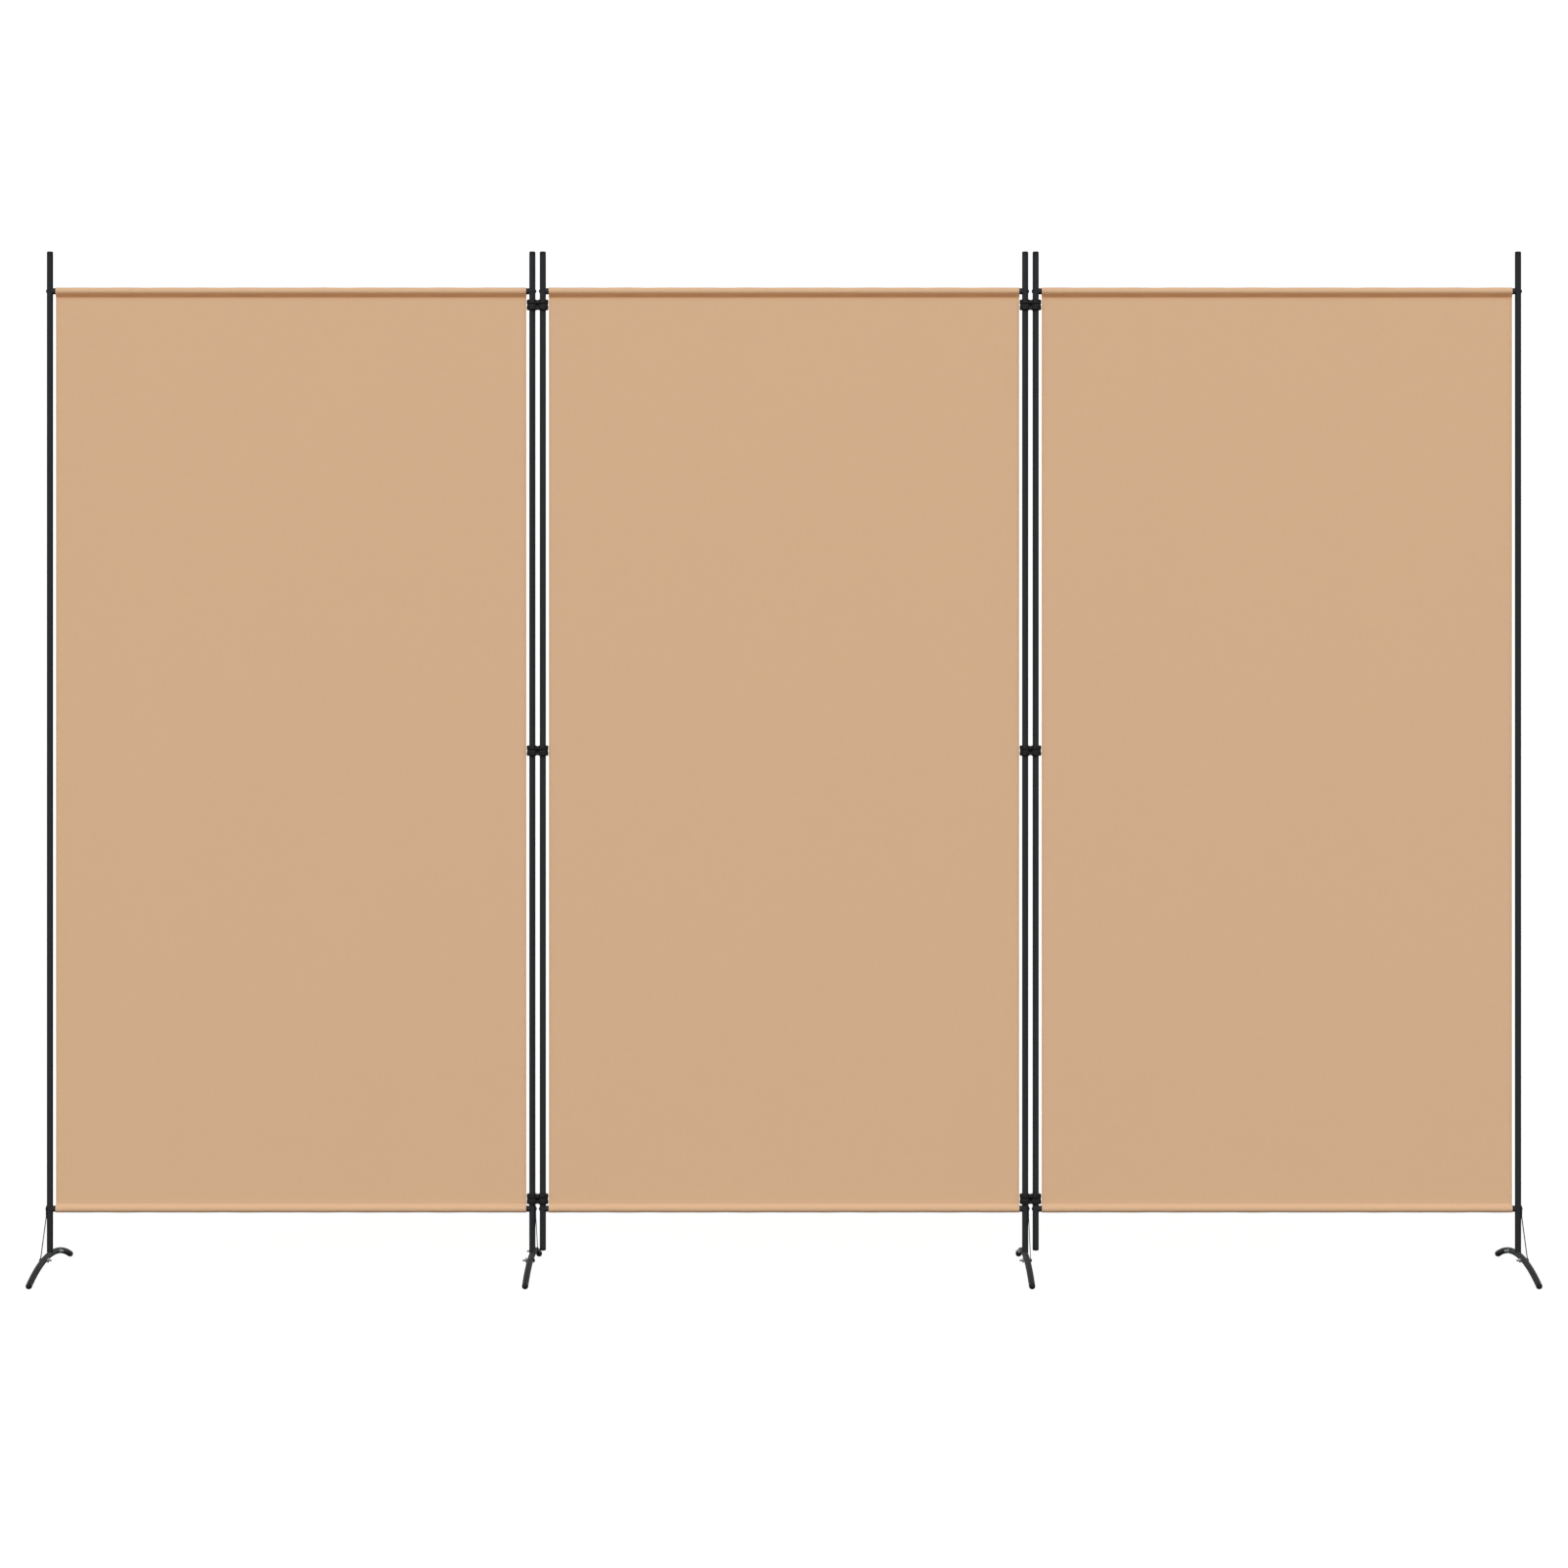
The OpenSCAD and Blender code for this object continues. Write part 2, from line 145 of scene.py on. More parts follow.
def woven_polyester(name, shade, light, painted_shade_tone):
    """Plain-woven polyester: matt spun yarn with a faint sheen, crossed warp and weft
    and slightly thick and thin places along each yarn. The yarns are 0.5 mm apart and
    are drawn at 1.2 mm, since finer ones would not show; slubs are 2 mm wide and 25 or
    30 mm long. In the creases under the top pockets, front and back, the colour is
    multiplied by a deeper, warmer tone where the mesh's painted shade value is high:
    this is painted shade, standing in for light that bounces from cloth to cloth there."""
    yarn = 1.2 * MM
    slub_sizes = ((25 * MM, 2 * MM), (2 * MM, 30 * MM))     # across and down the cloth
    wave_repeat = TURN / 20     # a wave texture's period at a scale of 1, in metres
    material, tree, shader = finish(name, Roughness=0.88, Specular_IOR_Level=0.22,
                                    Sheen_Weight=0.10, Sheen_Roughness=0.45)
    place = node(tree, "TexCoord").outputs["UV"]
    waves = {"Vector": place, "Scale": wave_repeat / yarn}
    warp = node(tree, "TexWave", waves, bands_direction="X").outputs["Fac"]
    weft = node(tree, "TexWave", waves, bands_direction="Y").outputs["Fac"]
    over = node(tree, "TexChecker", {"Vector": place, "Scale": 1 / yarn}).outputs["Fac"]
    woven = node(tree, "Mix", {0: over, 2: warp, 3: weft}).outputs[0]
    slubs = []
    for across, down in slub_sizes:
        stretched = node(tree, "Mapping", {"Vector": place,
                                           "Scale": (1 / across, 1 / down, 1 / MM)})
        slubs.append(node(tree, "TexNoise", {"Vector": stretched.outputs[0], "Scale": 1.0,
                                             "Detail": 2.0}).outputs["Fac"])
    yarn_tone = node(tree, "Mix", {0: 0.5, 2: slubs[0], 3: slubs[1]}).outputs[0]
    tone = node(tree, "Mix", {0: 0.22, 2: yarn_tone, 3: woven}).outputs[0]
    colour = node(tree, "Mix", {0: tone, 6: linear(shade), 7: linear(light)},
                  data_type="RGBA").outputs[2]
    # Painted shade: the colour is darkened and warmed in the creases under the top pockets.
    painted_shade_mask = node(tree, "Attribute", attribute_name="painted_shade_mask").outputs["Fac"]
    painted_shade_mix = node(tree, "Mix", {0: painted_shade_mask, 6: colour, 7: linear(painted_shade_tone)},
                   data_type="RGBA", blend_type="MULTIPLY")
    tree.links.new(painted_shade_mix.outputs[2], shader.inputs["Base Color"])
    bump = node(tree, "Bump", {"Strength": 0.35, "Distance": 0.06 * MM, "Height": woven})
    tree.links.new(bump.outputs[0], shader.inputs["Normal"])
    return material


def powder_coated_steel(name, shade, light):
    """Steel tube in matt black powder coat: baked resin that flows out into a faint
    orange peel about 1.5 mm across, which softens the long highlights, with a gloss
    that clouds a little over 60 mm."""
    material, tree, shader = finish(name, Specular_IOR_Level=0.30)
    place = node(tree, "TexCoord").outputs["Object"]
    peel = node(tree, "TexNoise", {"Vector": place, "Scale": 1 / (1.5 * MM),
                                   "Detail": 1.0}).outputs["Fac"]
    cloud = node(tree, "TexNoise", {"Vector": place, "Scale": 1 / (60 * MM),
                                    "Detail": 3.0}).outputs["Fac"]
    rough = node(tree, "MapRange", {"Value": cloud, "To Min": 0.80, "To Max": 0.88})
    tree.links.new(rough.outputs[0], shader.inputs["Roughness"])
    colour = node(tree, "Mix", {0: cloud, 6: linear(shade), 7: linear(light)},
                  data_type="RGBA")
    tree.links.new(colour.outputs[2], shader.inputs["Base Color"])
    bump = node(tree, "Bump", {"Strength": 0.25, "Distance": 0.05 * MM, "Height": peel})
    tree.links.new(bump.outputs[0], shader.inputs["Normal"])
    return material


def moulded_nylon(name, shade, light):
    """Injection-moulded black nylon: the mould's spark-eroded grain, about 0.3 mm and
    drawn at 0.8 mm so that it shows, gives a dry, even black without a sharp highlight."""
    material, tree, shader = finish(name, IOR=1.53, Specular_IOR_Level=0.25)
    place = node(tree, "TexCoord").outputs["Object"]
    grain = node(tree, "TexNoise", {"Vector": place, "Scale": 1 / (0.8 * MM),
                                    "Detail": 3.0}).outputs["Fac"]
    rough = node(tree, "MapRange", {"Value": grain, "To Min": 0.48, "To Max": 0.66})
    tree.links.new(rough.outputs[0], shader.inputs["Roughness"])
    colour = node(tree, "Mix", {0: grain, 6: linear(shade), 7: linear(light)},
                  data_type="RGBA")
    tree.links.new(colour.outputs[2], shader.inputs["Base Color"])
    bump = node(tree, "Bump", {"Strength": 0.3, "Distance": 0.06 * MM, "Height": grain})
    tree.links.new(bump.outputs[0], shader.inputs["Normal"])
    return material


def plated_steel(name, shade, light, rough_min, rough_max):
    """Zinc-plated steel: a thin bright or blackened plating over turned metal, with
    faint cloudy patches about 3 mm across that vary its gloss."""
    material, tree, shader = finish(name, Metallic=1.0)
    place = node(tree, "TexCoord").outputs["Object"]
    cloud = node(tree, "TexNoise", {"Vector": place, "Scale": 1 / (3 * MM),
                                    "Detail": 3.0}).outputs["Fac"]
    rough = node(tree, "MapRange", {"Value": cloud, "To Min": rough_min, "To Max": rough_max})
    tree.links.new(rough.outputs[0], shader.inputs["Roughness"])
    colour = node(tree, "Mix", {0: cloud, 6: linear(shade), 7: linear(light)},
                  data_type="RGBA")
    tree.links.new(colour.outputs[2], shader.inputs["Base Color"])
    return material


def sewing_thread(name, shade, light):
    """Spun polyester sewing thread: its twisted plies show as light and dark about
    0.8 mm apart. It is coloured a little darker than the cloth as painted shade, for the
    thread lying in its needle holes."""
    material, tree, shader = finish(name, Roughness=0.75, Sheen_Weight=0.1)
    place = node(tree, "TexCoord").outputs["Object"]
    twist = node(tree, "TexNoise", {"Vector": place, "Scale": 1 / (0.8 * MM),
                                    "Detail": 1.0}).outputs["Fac"]
    colour = node(tree, "Mix", {0: twist, 6: linear(shade), 7: linear(light)},
                  data_type="RGBA")
    tree.links.new(colour.outputs[2], shader.inputs["Base Color"])
    return material


# The last tone, #fadbba, is painted shade multiplied into the creases under the top pockets.
tan_cloth = woven_polyester("tan_woven_polyester", "#d8b18c", "#e1bb97", "#fadbba")
# b58d66 and #d0a883 are darker than the cloth: painted shade of the thread in its needle holes.
thread = sewing_thread("tan_sewing_thread", "#b58d66", "#d0a883")
bright_zinc = plated_steel("bright_zinc_plated_steel", "#a9adb0", "#d3d6d8", 0.28, 0.42)
black_zinc = plated_steel("black_zinc_plated_steel", "#222324", "#343538", 0.34, 0.5)
FINISH_OF_SLOT = {
    "black_powder_coat": powder_coated_steel("matt_powder_coated_steel", "#212326", "#292b2d"),
    "black_plastic": moulded_nylon("moulded_black_nylon", "#0d0d0e", "#131314"),
    "zinc": bright_zinc,
    "black_screws": black_zinc,
    "cloth": tan_cloth,
}
for cad_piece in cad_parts.values():
    slot_material = cad_piece.data.materials[0]
    cad_piece.data.materials[0] = FINISH_OF_SLOT[slot_material.name]


# ---------------------------------------------------------------- cloth panels

CLOTH_T = 0.5 * MM          # thickness of one layer
LAYER = 0.56 * MM           # from one layer's middle to the next one's
HEM_W = 5.0 * MM            # width folded back along each side
HEM_SEAM = 3.0 * MM         # the side hem's seam, in from the edge
HEM_DIP = 0.16 * MM         # how far that seam draws the front layer in
BACK_SHARE = 0.3            # the back layer is drawn in by this part of that
DIP_SPREAD = 0.8 * MM       # spread of the bell curve that both follow
TOP_SEAM = 10.8 * MM        # the top pocket's seam, from the bar's centreline
BOTTOM_SEAM = 9.2 * MM      # the bottom pocket's, which is drawn up tighter
ALLOWANCE = 4.0 * MM        # cloth left beyond that seam on the back
POCKET_SLACK = 0.85 * MM    # from the bar's surface to the middle of the cloth round it
PAINTED_SHADE_RISE = 4.7 * MM      # from a top seam up the pocket to the middle of its crease, where the painted shade is deepest
PAINTED_SHADE_SPREAD = 4.0 * MM    # spread of the bell curve that fades that painted shade
BULK_REACH = 3 * MM         # over which the hems' bulk in the seams levels out
SLACK_REACH = 0.22          # from a seam to where the sheet's slack is full
EDGE_CURL = 0.8 * MM        # how far back the sheet's sides curl
CURL_REACH = 25 * MM        # and from how far in
PUCKER_REACH = 10 * MM      # down which the puckers beside a seam fade

ROUND_POINTS = 200          # points round each bar in the outline of the cloth's line
LINE_STEP = 0.1 * MM        # between the even points that the line is then given
SOFTEN_REACH = 20           # points on each side that soften a corner of it
SOFTEN_SPREAD = 5.0         # spread of their weights, in points

FOLD_COLUMNS = 4            # columns of points round a hem's fold
POCKET_ROWS = 46            # rows of points in each pocket
SHEET_ROWS = 110            # rows of points down the sheet between its seams
ROW_CROWDING = 0.86         # 0 spaces those evenly, and 1 closes them up at the seams
SHEET_COLUMNS = 161         # even columns of points across the sheet
COLUMN_MARGIN = 14 * MM     # from the cloth's edge to the first of them


def length_along(line):
    """The length of a line of points from its start to each of them."""
    return np.r_[0, np.cumsum(np.linalg.norm(np.diff(line, axis=0), axis=1))]


def softened(line):
    """An even line of points with its corners rounded: each point becomes the mean of
    its neighbours, weighted by a bell curve, with both ends carried on straight."""
    reach = np.arange(-SOFTEN_REACH, SOFTEN_REACH + 1)
    weight = np.exp(-0.5 * (reach / SOFTEN_SPREAD) ** 2)
    weight /= weight.sum()
    ahead = line[0] + (line[0] - line[1]) * np.arange(SOFTEN_REACH, 0, -1)[:, None]
    beyond = line[-1] + (line[-1] - line[-2]) * np.arange(1, SOFTEN_REACH + 1)[:, None]
    carried_on = np.concatenate([ahead, line, beyond])
    return np.stack([np.convolve(carried_on[:, i], weight, "valid") for i in (0, 1)], 1)


def pocket_line(bar_name, seam_depth, side):
    """The cloth's middle line round one bar, as y and z: up the back from the raw edge
    to the seam, along the tangent to the bar's round, about the bar and down its other
    tangent to the seam. Side is 1 at the top bar and -1 at the bottom."""
    bar_low, bar_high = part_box(bar_name)
    centre_z = (bar_low.z + bar_high.z) / 2
    radius = (bar_high.y - bar_low.y) / 2 + POCKET_SLACK
    seam = np.array([LAYER / 2, seam_depth])
    touch = math.acos(radius / math.hypot(*seam)) - math.atan2(seam[0], seam[1])
    angle = np.linspace(touch, TURN - touch, ROUND_POINTS)
    round_bar = np.stack([radius * np.sin(angle), radius * np.cos(angle)], 1)
    points = np.concatenate([[[seam[0], seam_depth + ALLOWANCE]], [seam], round_bar,
                             [[-seam[0], seam_depth]]])
    points[:, 1] = centre_z - side * points[:, 1]
    return points


def ripple(height, waves, start):
    """A sine of a height, where waves counts its periods and start is an angle."""
    return height * np.sin(TURN * waves + start)


class ClothPanel:
    """One panel of the screen as a surface of two lengths measured along the cloth:
    x across it, and s down it, from the raw edge behind the top pocket, over the top
    bar, down the front, round the bottom bar and up to the raw edge behind it. The
    phase, an angle, starts each panel's waves elsewhere."""

    def __init__(self, panel, phase):
        low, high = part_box(panel + "_fabric")
        self.x0, self.x1, self.phase = low.x, high.x, phase
        corners = np.concatenate([
            pocket_line(panel + "_top_bar", TOP_SEAM, 1),
            pocket_line(panel + "_bottom_bar", BOTTOM_SEAM, -1)[::-1]])
        reached = length_along(corners)
        even = np.arange(0, reached[-1], LINE_STEP)
        self.line = softened(
            np.stack([np.interp(even, reached, corners[:, i]) for i in (0, 1)], 1))
        self.s = length_along(self.line)
        self.length = self.s[-1]
        along = np.gradient(self.line, self.s, axis=0)
        along /= np.linalg.norm(along, axis=1)[:, None]
        self.behind = np.stack([-along[:, 1], along[:, 0]], 1)
        upright = np.abs(self.behind[:, 0] - 1) < 1e-4
        between_bars = np.abs(self.line[:, 0]) < LAYER
        sheet = np.nonzero(upright & between_bars)[0]
        self.sheet_top, self.sheet_bottom = self.s[sheet[0]], self.s[sheet[-1]]
        self.back_top, self.back_bottom = ALLOWANCE, self.length - ALLOWANCE

    def hem_bulk(self, edge, end):
        """How far the cloth by a pocket's raw edge is pushed back where it crosses a
        side hem: by the hem's two layers, which level out beside it and in the pocket."""
        level = 0.5 * MM        # past the hem or the allowance before that begins
        in_hem = 1 - smoothstep((edge - HEM_W - level) / BULK_REACH)
        in_allowance = 1 - smoothstep((end - ALLOWANCE - level) / BULK_REACH)
        return 2 * LAYER * in_hem * in_allowance

    def sheet_waves(self, x, s, edge, from_seam):
        """The held sheet's slack: upright waves 310 mm apart, which wander a tenth of
        that to each side over 1.3 m of height, slightly leaning ones 173 mm apart,
        broad ones 900 mm apart down and 700 mm across, and the curl of its sides. All
        of it grows from the seams."""
        p = self.phase
        wander = ripple(0.10, s / 1.3, p)
        waves = (ripple(0.42 * MM, x / 0.31 + wander, 2 * p)
                 + ripple(0.25 * MM, x / 0.173 - 0.12 * s, 3 * p)
                 + ripple(0.20 * MM, s / 0.9 + x / 0.7, 5 * p))
        curl = EDGE_CURL * np.exp(-edge / CURL_REACH)
        return smoothstep(from_seam / SLACK_REACH) * (waves + curl)

    def seam_puckers(self, x, from_seam):
        """Puckers 13 and 21 mm apart that the sewing gathers. They fade down the sheet
        and end 2 mm inside the pocket."""
        p = self.phase
        fade = np.exp(-np.abs(from_seam) / PUCKER_REACH) * (from_seam > -2 * MM)
        return fade * (ripple(0.10 * MM, x / 0.0131, 4 * p)
                       + ripple(0.08 * MM, x / 0.0213, 1.7 * p))

    def pocket_waves(self, x, end, from_seam):
        """Slack round the bars, in waves 71 and 113 mm apart, which begins 2 mm inside
        the pocket and is full 7 mm further in. The allowance has none."""
        p = self.phase
        in_pocket = 1 - smoothstep((from_seam + 9 * MM) / (7 * MM))
        return in_pocket * (end > ALLOWANCE) * (ripple(0.14 * MM, x / 0.071, 2.2 * p)
                                                + ripple(0.10 * MM, x / 0.113, 0.9 * p))

    def at(self, x, s, behind):
        """Points of the cloth at arrays of x, of s, and of depth behind its middle
        line: the line itself, moved along its normal by the depth and the pocket's
        waves, and moved in Y by the hems' bulk, the sheet's waves and the puckers."""
        line = [np.interp(s, self.s, self.line[:, i]) for i in (0, 1)]
        normal = [np.interp(s, self.s, self.behind[:, i]) for i in (0, 1)]
        edge = np.minimum(x - self.x0, self.x1 - x)
        end = np.minimum(s, self.length - s)
        from_seam = np.minimum(s - self.sheet_top, self.sheet_bottom - s)
        out = behind + self.pocket_waves(x, end, from_seam)
        y = (line[0] + normal[0] * out + self.hem_bulk(edge, end)
             + self.sheet_waves(x, s, edge, from_seam) + self.seam_puckers(x, from_seam))
        return np.stack([x + 0 * y, y, line[1] + normal[1] * out], -1)


def across_columns(panel):
    """The cloth's columns from the left hem's raw edge round its fold, over the front
    and round the right fold to the right hem's raw edge: x and depth behind the front.
    The fold is a half round, and a bell curve of x draws the two layers together along
    the stitches, the front one more. Columns are closest by the fold and the stitches."""
    turn = np.linspace(0, math.pi, FOLD_COLUMNS + 2)[1:-1]
    fold_r = LAYER / 2
    by_fold = np.array([0.9, 1.6, 2.4]) * MM
    by_raw_edge = np.array([4.3, 3.6]) * MM
    past_seam = np.array([3.6, 4.4, 5.6, 7.5, 10]) * MM
    hem = np.r_[HEM_W, by_raw_edge, HEM_SEAM, by_fold[::-1], fold_r]
    front = np.r_[fold_r, by_fold, HEM_SEAM, past_seam]
    width = panel.x1 - panel.x0
    middle = np.linspace(COLUMN_MARGIN, width - COLUMN_MARGIN, SHEET_COLUMNS)
    x = np.r_[hem, fold_r - fold_r * np.sin(turn), front]
    depth = np.r_[np.full(len(hem), LAYER), fold_r + fold_r * np.cos(turn), np.zeros(len(front))]
    dip = HEM_DIP * np.exp(-((x - HEM_SEAM) / DIP_SPREAD) ** 2)
    depth = depth + np.where(depth > fold_r, -BACK_SHARE * dip, dip)
    x = np.r_[x, middle, width - x[::-1]] + panel.x0
    depth = np.r_[depth, np.zeros(len(middle)), depth[::-1]]
    return x, depth


def down_rows(panel):
    """Lengths s of the rows: about 1.1 mm apart in the pockets, and on the sheet 2 mm
    apart at the seams, growing by a sine to 27 mm at mid-height."""
    top_pocket = np.linspace(0, panel.sheet_top, POCKET_ROWS)
    bottom_pocket = np.linspace(panel.sheet_bottom, panel.length, POCKET_ROWS)
    t = np.linspace(0, 1, SHEET_ROWS + 2)[1:-1]
    span = panel.sheet_bottom - panel.sheet_top
    sheet = panel.sheet_top + span * (t - ROW_CROWDING * np.sin(TURN * t) / TURN)
    return np.r_[top_pocket, sheet, bottom_pocket]


def cloth_sheet(name, panel):
    """The panel's cloth as one sheet with its hems and pockets, 0.5 mm thick, and the
    size it is cut to. Its painted shade value, which darkens the cloth's colour, is a
    bell curve over s about each top crease, front and back."""
    x, depth = across_columns(panel)
    s = down_rows(panel)
    points = panel.at(x[None, :], s[:, None], depth[None, :])
    u = np.r_[0, np.cumsum(np.hypot(np.diff(x), np.diff(depth)))]
    uv = np.stack(np.broadcast_arrays(u[None, :], s[:, None]), -1)
    piece = mesh_piece(name, points, grid_faces(len(s), len(x)), [tan_cloth], uv)
    # Painted shade: how much the cloth's colour is darkened about the creases under the top
    # pockets.
    from_crease = np.minimum(np.abs(s - panel.sheet_top + PAINTED_SHADE_RISE),
                             np.abs(s - panel.back_top - PAINTED_SHADE_RISE))
    painted_shade_weight = np.exp(-0.5 * (from_crease / PAINTED_SHADE_SPREAD) ** 2)
    painted_shade_mask = piece.data.attributes.new("painted_shade_mask", "FLOAT", "POINT")
    painted_shade_mask.data.foreach_set("value", np.repeat(painted_shade_weight, len(x)).astype(np.float32))
    solid = piece.modifiers.new("cloth_thickness", "SOLIDIFY")
    solid.thickness = CLOTH_T
    solid.offset = 0
    return piece, (round(float(u[-1]), 4), round(float(panel.length), 4))


# ---------------------------------------------------------------- stitching

STITCH_PITCH = 3.2 * MM
STITCH_LIFT = CLOTH_T / 2 + 0.02 * MM   # from a layer's middle to the thread's
STITCH_HALF = 1.25 * MM                 # half the length of a stitch
STITCH_R = 0.25 * MM                    # its radius at the middle
STITCH_ARCH = 0.08 * MM                 # how far the middle bows out
STITCH_RINGS = np.array([-0.75, 0.0, 0.75])     # where its rings are, as parts of its half
STITCH_SIDES = 6
HEM_ROW_GAP = 1.0 * MM                  # from the sheet's end to a hem's row of stitches
POCKET_ROW_GAP = 1.5 * MM               # from the cloth's edge to a pocket's row
HEM_BACK_DIP = 0.05 * MM                # how far a hem's row lies in on the back
POCKET_ROW_RISE = 0.2 * MM              # from the sheet's end up to a pocket's front row


def stitches(panel):
    """The middles, directions and outward normals of all stitches of a panel: rows at
    even pitch down both hems and along both pocket seams, on the front and the back."""
    probe = 0.1 * MM            # a short step, which gives the cloth's directions
    down = np.arange(panel.sheet_top + HEM_ROW_GAP, panel.sheet_bottom - HEM_ROW_GAP,
                     STITCH_PITCH)
    along = np.arange(panel.x0 + POCKET_ROW_GAP, panel.x1 - POCKET_ROW_GAP, STITCH_PITCH)
    rows = []
    for edge_x in (panel.x0 + HEM_SEAM, panel.x1 - HEM_SEAM):
        for depth, side in ((HEM_DIP - STITCH_LIFT, -1),
                            (LAYER - HEM_BACK_DIP + STITCH_LIFT, 1)):
            rows.append((np.full(len(down), edge_x), down, depth, side, (0, 1)))
    for s in (panel.sheet_top - POCKET_ROW_RISE, panel.sheet_bottom + POCKET_ROW_RISE,
              panel.back_top, panel.back_bottom):
        rows.append((along, np.full(len(along), s), -STITCH_LIFT, -1, (1, 0)))
    found = []
    for x, s, depth, side, run in rows:
        at = panel.at(x, s, depth)
        ahead = panel.at(x + run[0] * probe, s + run[1] * probe, depth)
        out = (panel.at(x, s, depth + probe) - at) * side
        found.append(np.stack([at, ahead - at, out]))
    middles, ways, normals = np.concatenate(found, 1)
    ways /= np.linalg.norm(ways, axis=1)[:, None]
    normals /= np.linalg.norm(normals, axis=1)[:, None]
    return middles, ways, normals


def stitch_faces():
    """The faces of one stitch: a fan from its first point to its first ring, the sides
    between its rings, and a fan from its last ring to its last point."""
    here = np.arange(STITCH_SIDES)
    after = (here + 1) % STITCH_SIDES
    last_ring = 1 + (len(STITCH_RINGS) - 1) * STITCH_SIDES
    tip = last_ring + STITCH_SIDES
    first = np.stack([0 * here, 1 + after, 1 + here, 1 + here], 1)
    sides = grid_faces(len(STITCH_RINGS), STITCH_SIDES, closed=True) + 1
    last = np.stack([0 * here + tip, last_ring + here, last_ring + after, last_ring + after], 1)
    return np.concatenate([first, sides, last])


def stitching(name, panel):
    """Every stitch as a thin bead, 2.5 mm long and 0.5 mm thick: a round whose radius
    is the root of 1 - t^4 at the place t along its half, bowed out by 1 - t^2."""
    t = STITCH_RINGS
    turn = np.arange(STITCH_SIDES) / STITCH_SIDES * TURN
    ring = STITCH_R * np.sqrt(1 - t ** 4)
    bow = STITCH_ARCH * (1 - t ** 2)
    along = np.r_[-STITCH_HALF, np.repeat(t * STITCH_HALF, STITCH_SIDES), STITCH_HALF]
    across = np.r_[0, (ring[:, None] * np.cos(turn)).ravel(), 0]
    out = np.r_[0, (ring[:, None] * np.sin(turn) + bow[:, None]).ravel(), 0]
    middles, ways, normals = stitches(panel)
    sideways = np.cross(normals, ways)
    points = (middles[:, None] + ways[:, None] * along[:, None]
              + sideways[:, None] * across[:, None] + normals[:, None] * out[:, None])
    faces = stitch_faces()[None] + len(along) * np.arange(len(middles))[:, None, None]
    piece = mesh_piece(name, points, faces.reshape(-1, 4), [thread])
    closed_outward(piece)
    return piece


PANELS = (("left", 0.4), ("center", 1.9), ("right", 3.1))       # each with its phase
for side_name, phase in PANELS:
    body = side_name + "_panel"
    panel = ClothPanel(side_name, phase)
    sheet, flat = cloth_sheet(side_name + "_cloth", panel)
    seams = stitching(side_name + "_stitching", panel)
    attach(sheet, body)
    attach(seams, body)
    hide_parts(side_name + "_fabric")


# ---------------------------------------------------------------- brace bolts

BOLT_LENGTH = 20 * MM
BOLT_PLAIN = 9 * MM         # from the dome's rim to where the thread starts
HEAD_R = 3.5 * MM
HEAD_H = 1.7 * MM           # the dome's height
HEAD_RIM = 0.25 * MM        # the upright rim between the dome and the head's underside
CROWN_R = 1.6 * MM          # where the dome ends round the socket
SOCKET_R = 1.22 * MM        # from its middle to each of its six walls
SOCKET_DEPTH = 1.1 * MM
SOCKET_LIP = 0.1 * MM       # from the dome's full height down to the top of the walls
SHANK_R = 1.95 * MM
THREAD_MID_R = 1.78 * MM
THREAD_RIDGE = 0.2 * MM     # how far the thread rises and sinks from there
THREAD_PITCH = 0.7 * MM
THREAD_STOP = 0.6 * MM      # from the thread's end to the bolt's
BOLT_TIP_R = 1.45 * MM
BOLT_SIDES = 36
DOME_RINGS = 9
PITCH_STEPS = 6             # stations along one pitch, over which the thread also starts
STOP_STEPS = 4              # stations over which it stops
SHARP_EDGE = math.radians(35)   # the bolts' edges that turn by more stay sharp


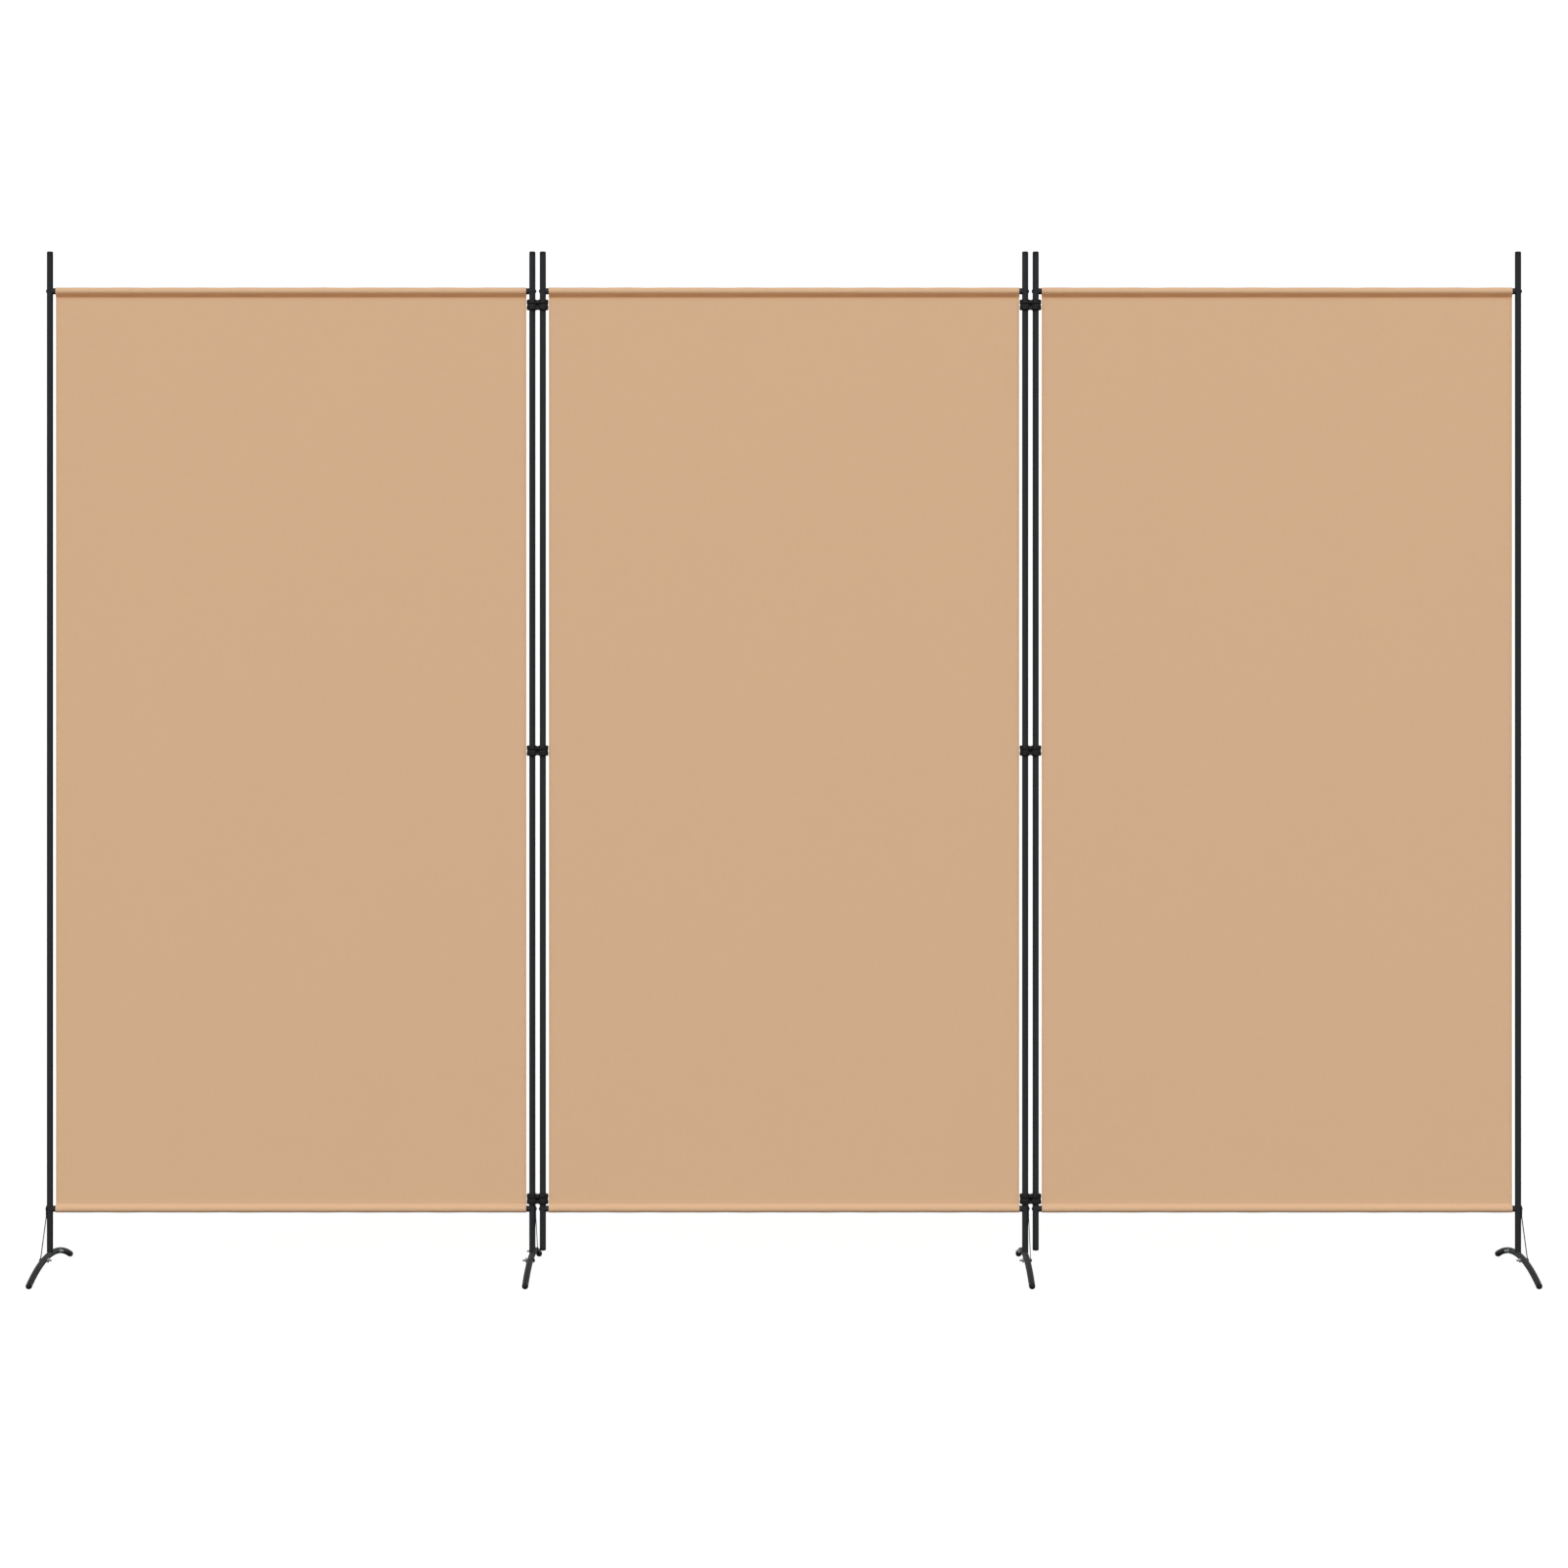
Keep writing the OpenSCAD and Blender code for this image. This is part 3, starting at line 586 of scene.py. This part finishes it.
def bolt_shape():
    """An M4 button-head bolt along -Z with its dome's rim at the origin, as a surface
    of turn and station. Stations run from the socket's floor up its six walls, over the
    dome, which is part of a ball, under the head and down the shank. The thread is a
    cosine of the height whose place shifts by one pitch in a turn. The head and the
    plain shank have the first material, and the thread and the tip the second."""
    turn = np.arange(BOLT_SIDES) / BOLT_SIDES * TURN
    ball_r = (HEAD_R ** 2 + HEAD_H ** 2) / (2 * HEAD_H)
    dome_r = np.linspace(CROWN_R, HEAD_R, DOME_RINGS)
    dome_z = np.sqrt(ball_r ** 2 - dome_r ** 2) - ball_r + HEAD_H
    socket = [[0, HEAD_H - SOCKET_DEPTH], [SOCKET_R, HEAD_H - SOCKET_DEPTH],
              [SOCKET_R, HEAD_H - SOCKET_LIP]]
    shank = [[HEAD_R, -HEAD_RIM], [SHANK_R, -HEAD_RIM], [SHANK_R, -BOLT_PLAIN]]
    thread_z = np.arange(-BOLT_PLAIN, -(BOLT_LENGTH - THREAD_STOP),
                         -THREAD_PITCH / PITCH_STEPS)
    thread_line = np.stack([np.full(len(thread_z), THREAD_MID_R), thread_z], 1)
    tip = [[BOLT_TIP_R, -BOLT_LENGTH], [0, -BOLT_LENGTH]]
    base, height = np.concatenate(
        [socket, np.stack([dome_r, dome_z], 1), shank, thread_line, tip]).T
    before_thread = len(socket) + len(dome_r) + len(shank)

    station = np.arange(len(base))[:, None]
    into_thread = station - before_thread
    to_its_end = before_thread + len(thread_z) - 1 - station
    ridge = THREAD_RIDGE * np.clip(
        np.minimum(into_thread / PITCH_STEPS, to_its_end / STOP_STEPS), 0, 1)
    six_walls = 1 / np.cos((turn + TURN / 12) % (TURN / 6) - TURN / 12)
    in_socket = (station == 1) | (station == 2)
    radius = base[:, None] * np.where(in_socket, six_walls, 1)
    radius = radius + ridge * np.cos(TURN * height[:, None] / THREAD_PITCH + turn)
    points = np.stack([radius * np.cos(turn), radius * np.sin(turn),
                       np.broadcast_to(height[:, None], radius.shape)], -1)
    tint = np.repeat(np.arange(len(base) - 1) >= before_thread - 1, BOLT_SIDES)
    return points, grid_faces(len(base), BOLT_SIDES, closed=True), tint


def brace_bolts(name, feet, screws_node):
    """The bolts of a panel's feet: each goes from its brace through the bow, with the
    head on the brace and the threaded end standing out of the nut."""
    low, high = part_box(screws_node)
    bolt_z = (low.z + high.z) / 2
    bolt_y = (high.y - low.y) / 2 - HEAD_R
    points, faces, tint = bolt_shape()
    all_points, all_faces, all_tints = [], [], []
    for post_name, brace_name in feet:
        post_low, post_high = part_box(post_name)
        brace_low, brace_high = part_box(brace_name)
        side = 1 if brace_low.x + brace_high.x > post_low.x + post_high.x else -1
        seat_x = brace_high.x if side > 0 else brace_low.x
        for y in (-bolt_y, bolt_y):
            all_faces.append(faces + len(all_points) * points[..., 0].size)
            all_points.append(np.stack([seat_x + side * (points[..., 2] + HEAD_RIM),
                                        y + points[..., 0],
                                        bolt_z + side * points[..., 1]], -1).reshape(-1, 3))
            all_tints.append(tint)
    piece = mesh_piece(name, np.concatenate(all_points), np.concatenate(all_faces),
                       [black_zinc, bright_zinc], tint=np.concatenate(all_tints))
    closed_outward(piece)
    piece.data.set_sharp_from_angle(angle=SHARP_EDGE)
    return piece


BOLTED_FEET = (
    ("left", [("left_outer_post", "left_outer_brace"), ("left_inner_post", "left_inner_brace")]),
    ("center", [("center_right_post", "center_foot_brace")]),
    ("right", [("right_outer_post", "right_foot_brace")]),
)
for side_name, feet in BOLTED_FEET:
    bolts = brace_bolts(side_name + "_brace_bolts", feet, side_name + "_brace_screws")
    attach(bolts, side_name + "_panel")
    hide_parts(side_name + "_brace_screws")


# ---------------------------------------------------------------- studio

FLOOR_HALF = 40.0           # half the floor's width
WHITE = (1, 1, 1, 1)
CAMERA_PLACE = (0, -6.925, 1.027)
CAMERA_SENSOR = 36          # its width and the lens, in millimetres
CAMERA_LENS = 90.15
CAMERA_SHIFT = -0.06        # lowers the view by this part of the picture's width


def grey(level):
    """A neutral colour of one linear level."""
    return (level, level, level, 1)


def studio_floor():
    """A plain pale floor. The camera sees it nearly white with faint shadows, and it
    throws back only a little of the light that falls on it, as grey paper would."""
    points = np.array([[-1, -1, 0], [1, -1, 0], [1, 1, 0], [-1, 1, 0]]) * FLOOR_HALF
    material = bpy.data.materials.new("pale_studio_paper")
    material.use_nodes = True
    tree = material.node_tree
    tree.nodes.clear()
    seen = node(tree, "LightPath").outputs["Is Camera Ray"]
    dim = node(tree, "BsdfDiffuse", {"Color": grey(0.12)})
    pale = node(tree, "BsdfDiffuse", {"Color": grey(0.10)})
    glow = node(tree, "Emission", {"Color": WHITE, "Strength": 0.95})
    bright = node(tree, "AddShader", {0: pale.outputs[0], 1: glow.outputs[0]})
    both = node(tree, "MixShader", {0: seen, 1: dim.outputs[0], 2: bright.outputs[0]})
    node(tree, "OutputMaterial", {"Surface": both.outputs[0]})
    floor = mesh_piece("studio_floor", points, np.array([[0, 1, 2, 3]]), [material])


def studio_surround():
    """A surround that the camera sees white and that lights the object evenly and
    faintly from all round, as a large pale room would."""
    world = bpy.data.worlds.new("studio_surround")
    scene.world = world
    world.use_nodes = True
    tree = world.node_tree
    tree.nodes.clear()
    seen = node(tree, "LightPath").outputs["Is Camera Ray"]
    fill = node(tree, "Background", {"Color": WHITE, "Strength": 0.20})
    white = node(tree, "Background", {"Color": WHITE, "Strength": 1.05})
    both = node(tree, "MixShader", {0: seen, 1: fill.outputs[0], 2: white.outputs[0]})
    node(tree, "OutputWorld", {"Surface": both.outputs[0]})


def soft_light(name, heading, height, softness, strength):
    """A broad far light from a compass heading (0 in front of the screen, 90 to its
    right) and a height above the floor, both in degrees, softened over an angle."""
    light = bpy.data.lights.new(name, "SUN")
    light.energy = strength
    light.angle = math.radians(softness)
    lamp = bpy.data.objects.new(name, light)
    scene.collection.objects.link(lamp)
    lamp.rotation_euler = (math.radians(90 - height), 0, math.radians(heading))


def studio_camera():
    """A long lens, level so that the posts stay upright, shifted down to the screen."""
    camera = bpy.data.cameras.new("studio_camera")
    camera.sensor_width = CAMERA_SENSOR
    camera.lens = CAMERA_LENS
    camera.shift_y = CAMERA_SHIFT
    stand = bpy.data.objects.new("studio_camera", camera)
    stand.location = CAMERA_PLACE
    stand.rotation_euler = (math.radians(90), 0, 0)
    scene.collection.objects.link(stand)
    scene.camera = stand


studio_floor()
studio_surround()
soft_light("front_key", heading=-14, height=42, softness=30, strength=1.61)
soft_light("left_fill", heading=-24, height=6, softness=50, strength=0.91)
soft_light("right_fill", heading=30, height=6, softness=50, strength=0.95)
soft_light("back_right_fill", heading=150, height=12, softness=60, strength=1.6)
soft_light("back_left_fill", heading=222, height=12, softness=60, strength=1.5)
studio_camera()
scene.view_settings.view_transform = "Standard"
